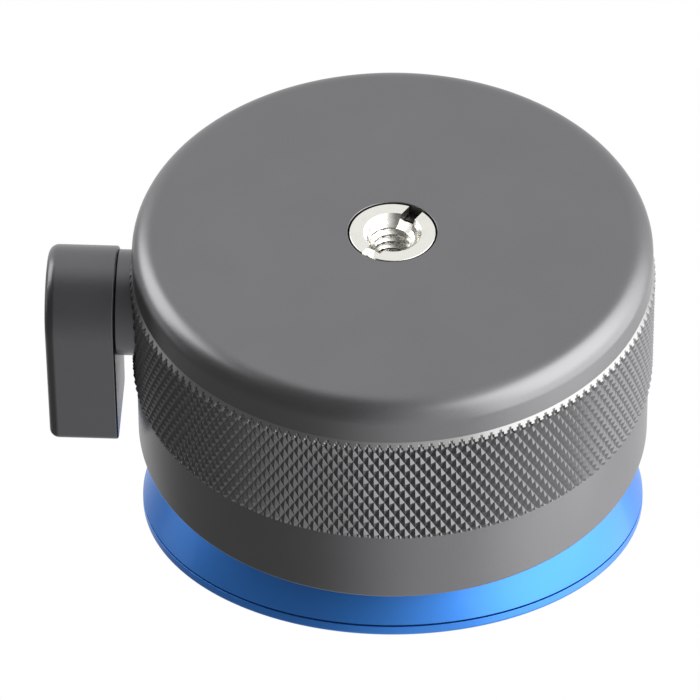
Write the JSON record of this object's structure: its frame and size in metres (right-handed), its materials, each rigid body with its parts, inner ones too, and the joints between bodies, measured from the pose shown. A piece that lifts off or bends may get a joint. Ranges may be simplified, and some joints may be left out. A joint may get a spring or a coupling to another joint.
{
  "type": "tripod levelling base",
  "caption": "Round knurled levelling base for a tripod: a half ball with a tilting platform and camera stud, clamped by a side lever.",
  "frame": {"origin": "centre of the flat base face, on the axis of the tripod thread", "axes": "+Z from the base face towards the platform; +X from the axis towards the clamping lever"},
  "size_m": [0.0858, 0.075, 0.0633],
  "materials": {
    "grey_anodised": "satin anodised, knurled band and smooth bands",
    "blue_anodised": "bright blue anodised, fine turned lines",
    "plain_aluminium": "turned",
    "bright_steel": "bright, turned",
    "plain_steel": "plain",
    "dark_steel": "blackened",
    "spring_steel": "drawn",
    "bronze": "plain",
    "slip_plastic": "smooth",
    "seal_rubber": "smooth",
    "pad_rubber": "fine ribs",
    "level_fluid": "clear green",
    "level_bubble": "clear",
    "level_window": "clear, with a printed ring"
  },
  "bodies": {
    "housing": {"housing": "grey_anodised", "thread_bush": "dark_steel", "outer_bearing_bush": "bronze", "inner_bearing_bush": "bronze", "guide_pins": "plain_steel", "return_springs": "spring_steel", "neck_seal": "seal_rubber"},
    "insert": {"reducing_insert": "bright_steel"},
    "lever": {"lever": "grey_anodised", "cam_shaft": "dark_steel", "lever_screw": "plain_steel", "shaft_clip": "spring_steel"},
    "clamp": {"tie_yoke": "dark_steel", "tie_bolt": "plain_steel", "clamp_shoe": "plain_aluminium", "spring_washers": "spring_steel", "tie_nut": "plain_steel"},
    "seat": {"seat_ring": "slip_plastic"},
    "liner": {"slip_liner": "slip_plastic"},
    "platform": {"half_ball": "blue_anodised", "platform_plate": "blue_anodised", "camera_stud": "bright_steel", "stud_lock_pin": "plain_steel", "friction_pad": "pad_rubber", "level_cup": "bronze", "level_fluid": "level_fluid", "level_bubble": "level_bubble", "level_window": "level_window"}
  },
  "joints": [
    {"name": "insert_unscrew", "type": "slide", "parent": "housing", "child": "insert", "axis": [0, 0, -1], "range_m": [0, 0.009]},
    {"name": "lever_turn", "type": "hinge", "parent": "housing", "child": "lever", "pos_m": [0.04, 0, 0.0147], "axis": [1, 0, 0], "range_deg": [0, 90]},
    {"name": "clamp_lift", "type": "slide", "parent": "housing", "child": "clamp", "axis": [0, 0, 1], "range_m": [0, 0.000848], "deforming": ["return_springs"]},
    {"name": "ball_heading", "type": "hinge", "parent": "housing", "child": "seat", "pos_m": [0, 0, 0.0644], "axis": [0, 0, 1], "continuous": true},
    {"name": "ball_tilt", "type": "hinge", "parent": "seat", "child": "liner", "pos_m": [0, 0, 0.0644], "axis": [0.999, -0.0436, 0], "range_deg": [-25.8, 4.2]},
    {"name": "platform_turn", "type": "hinge", "parent": "liner", "child": "platform", "pos_m": [0, 0, 0.0644], "axis": [-0.0082, -0.1872, 0.9823], "continuous": true}
  ],
  "couplings": [
    {"joint": "lever_turn", "follows": "clamp_lift", "rad_per_m": 1851.8}
  ]
}
